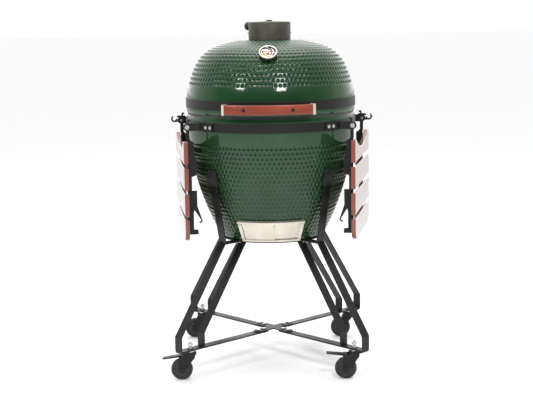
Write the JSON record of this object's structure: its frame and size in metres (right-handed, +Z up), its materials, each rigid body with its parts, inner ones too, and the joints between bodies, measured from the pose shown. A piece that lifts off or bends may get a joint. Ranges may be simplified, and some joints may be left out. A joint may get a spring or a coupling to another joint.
{
  "type": "kamado ceramic grill",
  "caption": "Egg-shaped ceramic charcoal grill with a hinged dome, top vent, draft door, folding slatted side shelves and a bent-steel rolling cart.",
  "frame": {"origin": "on the floor under the vertical axis of the ceramic body", "axes": "+Z up, front with the handle and draft door towards -Y, +X to the right seen from the front"},
  "size_m": [0.7466, 0.7032, 1.2256],
  "materials": {
    "green_glaze": "deep green gloss glaze, dimpled",
    "fire_clay": "unglazed refractory clay",
    "felt": "pressed felt gasket",
    "black_steel": "satin black powder coat",
    "cast_vent": "satin bronze-grey cast metal",
    "stainless": "brushed stainless",
    "zinc": "bright zinc plate",
    "handle_wood": "oiled red-brown hardwood",
    "slat_wood": "gloss lacquered red-brown hardwood",
    "iron": "seasoned cast iron",
    "wheel_rubber": "moulded black rubber",
    "black_plastic": "moulded black plastic",
    "dial_card": "printed dial",
    "pointer_red": "painted pointer",
    "clear_glass": "clear lens"
  },
  "bodies": {
    "pot": {"pot_shell": "green_glaze", "pot_gasket": "felt", "firebox": "fire_clay", "fire_ring": "fire_clay", "charcoal_grate": "iron", "pot_band": "black_steel", "hinge_lower": "black_steel", "hinge_pin": "zinc", "hinge_springs": "zinc", "draft_frame": "stainless", "draft_screws": "zinc", "shelf_brackets_left": "black_steel", "shelf_brackets_right": "black_steel", "shelf_pivot_pins": "zinc", "bracket_bolts": "zinc", "outer_legs": "black_steel", "inner_legs": "black_steel", "leg_links": "black_steel", "support_ring": "black_steel", "brace_bars": "black_steel", "brace_plate": "black_steel", "upright_caps": "black_plastic", "cart_bolts": "zinc", "caster_stems": "zinc"},
    "lid": {"dome_shell": "green_glaze", "dome_gasket": "felt", "dome_band": "black_steel", "hinge_upper": "black_steel", "handle_bar": "handle_wood", "handle_brackets": "stainless", "handle_screws": "black_steel", "vent_tower": "cast_vent", "vent_pivot_screw": "cast_vent", "vent_clamp_screws": "zinc", "gauge_housing": "stainless", "gauge_dial": "dial_card", "gauge_lens": "clear_glass", "gauge_probe": "stainless"},
    "vent_disc": {"vent_disc": "cast_vent", "vent_knob": "black_plastic"},
    "gauge_pointer": {"gauge_pointer": "pointer_red"},
    "draft_door": {"draft_door": "stainless"},
    "draft_screen": {"draft_screen": "stainless"},
    "cooking_grate": {"cooking_grate": "stainless"},
    "shelf_left": {"shelf_slats_left": "slat_wood", "shelf_arms_left": "black_steel", "shelf_screws_left": "zinc"},
    "shelf_right": {"shelf_slats_right": "slat_wood", "shelf_arms_right": "black_steel", "shelf_screws_right": "zinc"},
    "caster_front_left": {"caster_fork_front_left": "black_steel"},
    "wheel_front_left": {"caster_wheel_front_left": "wheel_rubber"},
    "pedal_front_left": {"brake_pedal_front_left": "black_steel"},
    "caster_front_right": {"caster_fork_front_right": "black_steel"},
    "wheel_front_right": {"caster_wheel_front_right": "wheel_rubber"},
    "pedal_front_right": {"brake_pedal_front_right": "black_steel"},
    "caster_rear_left": {"caster_fork_rear_left": "black_steel"},
    "wheel_rear_left": {"caster_wheel_rear_left": "wheel_rubber"},
    "caster_rear_right": {"caster_fork_rear_right": "black_steel"},
    "wheel_rear_right": {"caster_wheel_rear_right": "wheel_rubber"}
  },
  "joints": [
    {"name": "lid_hinge", "type": "hinge", "parent": "pot", "child": "lid", "pos_m": [0, 0.3376, 0.903], "axis": [-1, 0, 0], "range_deg": [0, 65]},
    {"name": "vent_disc_turn", "type": "hinge", "parent": "lid", "child": "vent_disc", "pos_m": [0, 0, 1.215], "axis": [0, 0, 1], "range_deg": [0, 36]},
    {"name": "gauge_pointer_turn", "type": "hinge", "parent": "lid", "child": "gauge_pointer", "pos_m": [0, -0.2388, 1.1065], "axis": [0, 0.6428, -0.766], "range_deg": [0, 240]},
    {"name": "draft_door_slide", "type": "hinge", "parent": "pot", "child": "draft_door", "pos_m": [0, 0, 0.505], "axis": [0, 0, 1], "range_deg": [0, 22.5]},
    {"name": "draft_screen_slide", "type": "hinge", "parent": "pot", "child": "draft_screen", "pos_m": [0, 0, 0.505], "axis": [0, 0, 1], "range_deg": [0, 24]},
    {"name": "cooking_grate_lift", "type": "slide", "parent": "pot", "child": "cooking_grate", "axis": [0, 0, 1], "range_m": [0, 0.045]},
    {"name": "shelf_left_fold", "type": "hinge", "parent": "pot", "child": "shelf_left", "pos_m": [-0.30717, -0.04865, 0.866], "axis": [-0.1564, 0.9877, 0], "range_deg": [0, 90]},
    {"name": "shelf_right_fold", "type": "hinge", "parent": "pot", "child": "shelf_right", "pos_m": [0.30717, -0.04865, 0.866], "axis": [-0.1564, -0.9877, 0], "range_deg": [0, 90]},
    {"name": "caster_swivel_front_left", "type": "hinge", "parent": "pot", "child": "caster_front_left", "pos_m": [-0.28284, -0.28284, 0.09], "axis": [0, 0, 1], "continuous": true},
    {"name": "wheel_spin_front_left", "type": "hinge", "parent": "caster_front_left", "child": "wheel_front_left", "pos_m": [-0.31284, -0.28284, 0.0375], "axis": [0, 1, 0], "continuous": true},
    {"name": "brake_pedal_press_front_left", "type": "hinge", "parent": "caster_front_left", "child": "pedal_front_left", "pos_m": [-0.31484, -0.28284, 0.08365], "axis": [0, 1, 0], "range_deg": [0, 14]},
    {"name": "caster_swivel_front_right", "type": "hinge", "parent": "pot", "child": "caster_front_right", "pos_m": [0.28284, -0.28284, 0.09], "axis": [0, 0, 1], "continuous": true},
    {"name": "wheel_spin_front_right", "type": "hinge", "parent": "caster_front_right", "child": "wheel_front_right", "pos_m": [0.25284, -0.28284, 0.0375], "axis": [0, 1, 0], "continuous": true},
    {"name": "brake_pedal_press_front_right", "type": "hinge", "parent": "caster_front_right", "child": "pedal_front_right", "pos_m": [0.25084, -0.28284, 0.08365], "axis": [0, -1, 0], "range_deg": [0, 14]},
    {"name": "caster_swivel_rear_left", "type": "hinge", "parent": "pot", "child": "caster_rear_left", "pos_m": [-0.28284, 0.28284, 0.09], "axis": [0, 0, 1], "continuous": true},
    {"name": "wheel_spin_rear_left", "type": "hinge", "parent": "caster_rear_left", "child": "wheel_rear_left", "pos_m": [-0.31284, 0.28284, 0.0375], "axis": [0, 1, 0], "continuous": true},
    {"name": "caster_swivel_rear_right", "type": "hinge", "parent": "pot", "child": "caster_rear_right", "pos_m": [0.28284, 0.28284, 0.09], "axis": [0, 0, 1], "continuous": true},
    {"name": "wheel_spin_rear_right", "type": "hinge", "parent": "caster_rear_right", "child": "wheel_rear_right", "pos_m": [0.25284, 0.28284, 0.0375], "axis": [0, 1, 0], "continuous": true}
  ]
}
